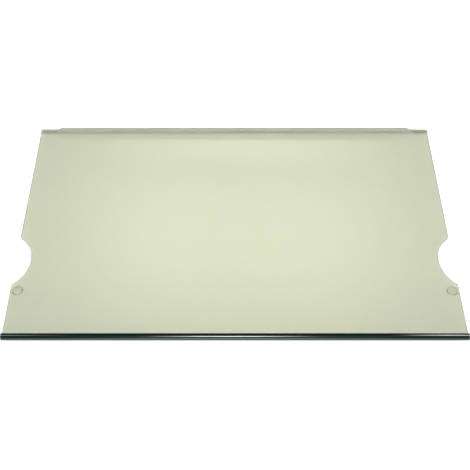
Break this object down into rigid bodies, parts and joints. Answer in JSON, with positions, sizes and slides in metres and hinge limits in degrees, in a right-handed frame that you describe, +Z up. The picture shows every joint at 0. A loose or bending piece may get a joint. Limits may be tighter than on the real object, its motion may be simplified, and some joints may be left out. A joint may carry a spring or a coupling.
{
  "type": "fridge glass shelf",
  "caption": "Flat tempered glass fridge shelf with an arc notch in each side, a dark round-nosed front trim, a clear rear strip with a raised lip, and clear pull-out stops beneath.",
  "frame": {"origin": "under the middle of the shelf, on the plane that its trims and stops stand on", "axes": "+X along the width to the right seen from the front, +Y from the front edge to the rear edge, +Z up"},
  "size_m": [0.4768, 0.3023, 0.0148],
  "materials": {
    "tinted_glass": "clear tempered float glass with a faint yellow-green tint and ground edges",
    "dark_trim": "high-gloss moulded plastic, almost black with a teal cast",
    "clear_plastic": "clear moulded plastic with a smoky grey-green cast"
  },
  "bodies": {
    "root": {"glass_pane": "tinted_glass", "front_trim": "dark_trim", "rear_strip": "clear_plastic", "left_stop": "clear_plastic", "right_stop": "clear_plastic"}
  },
  "joints": []
}
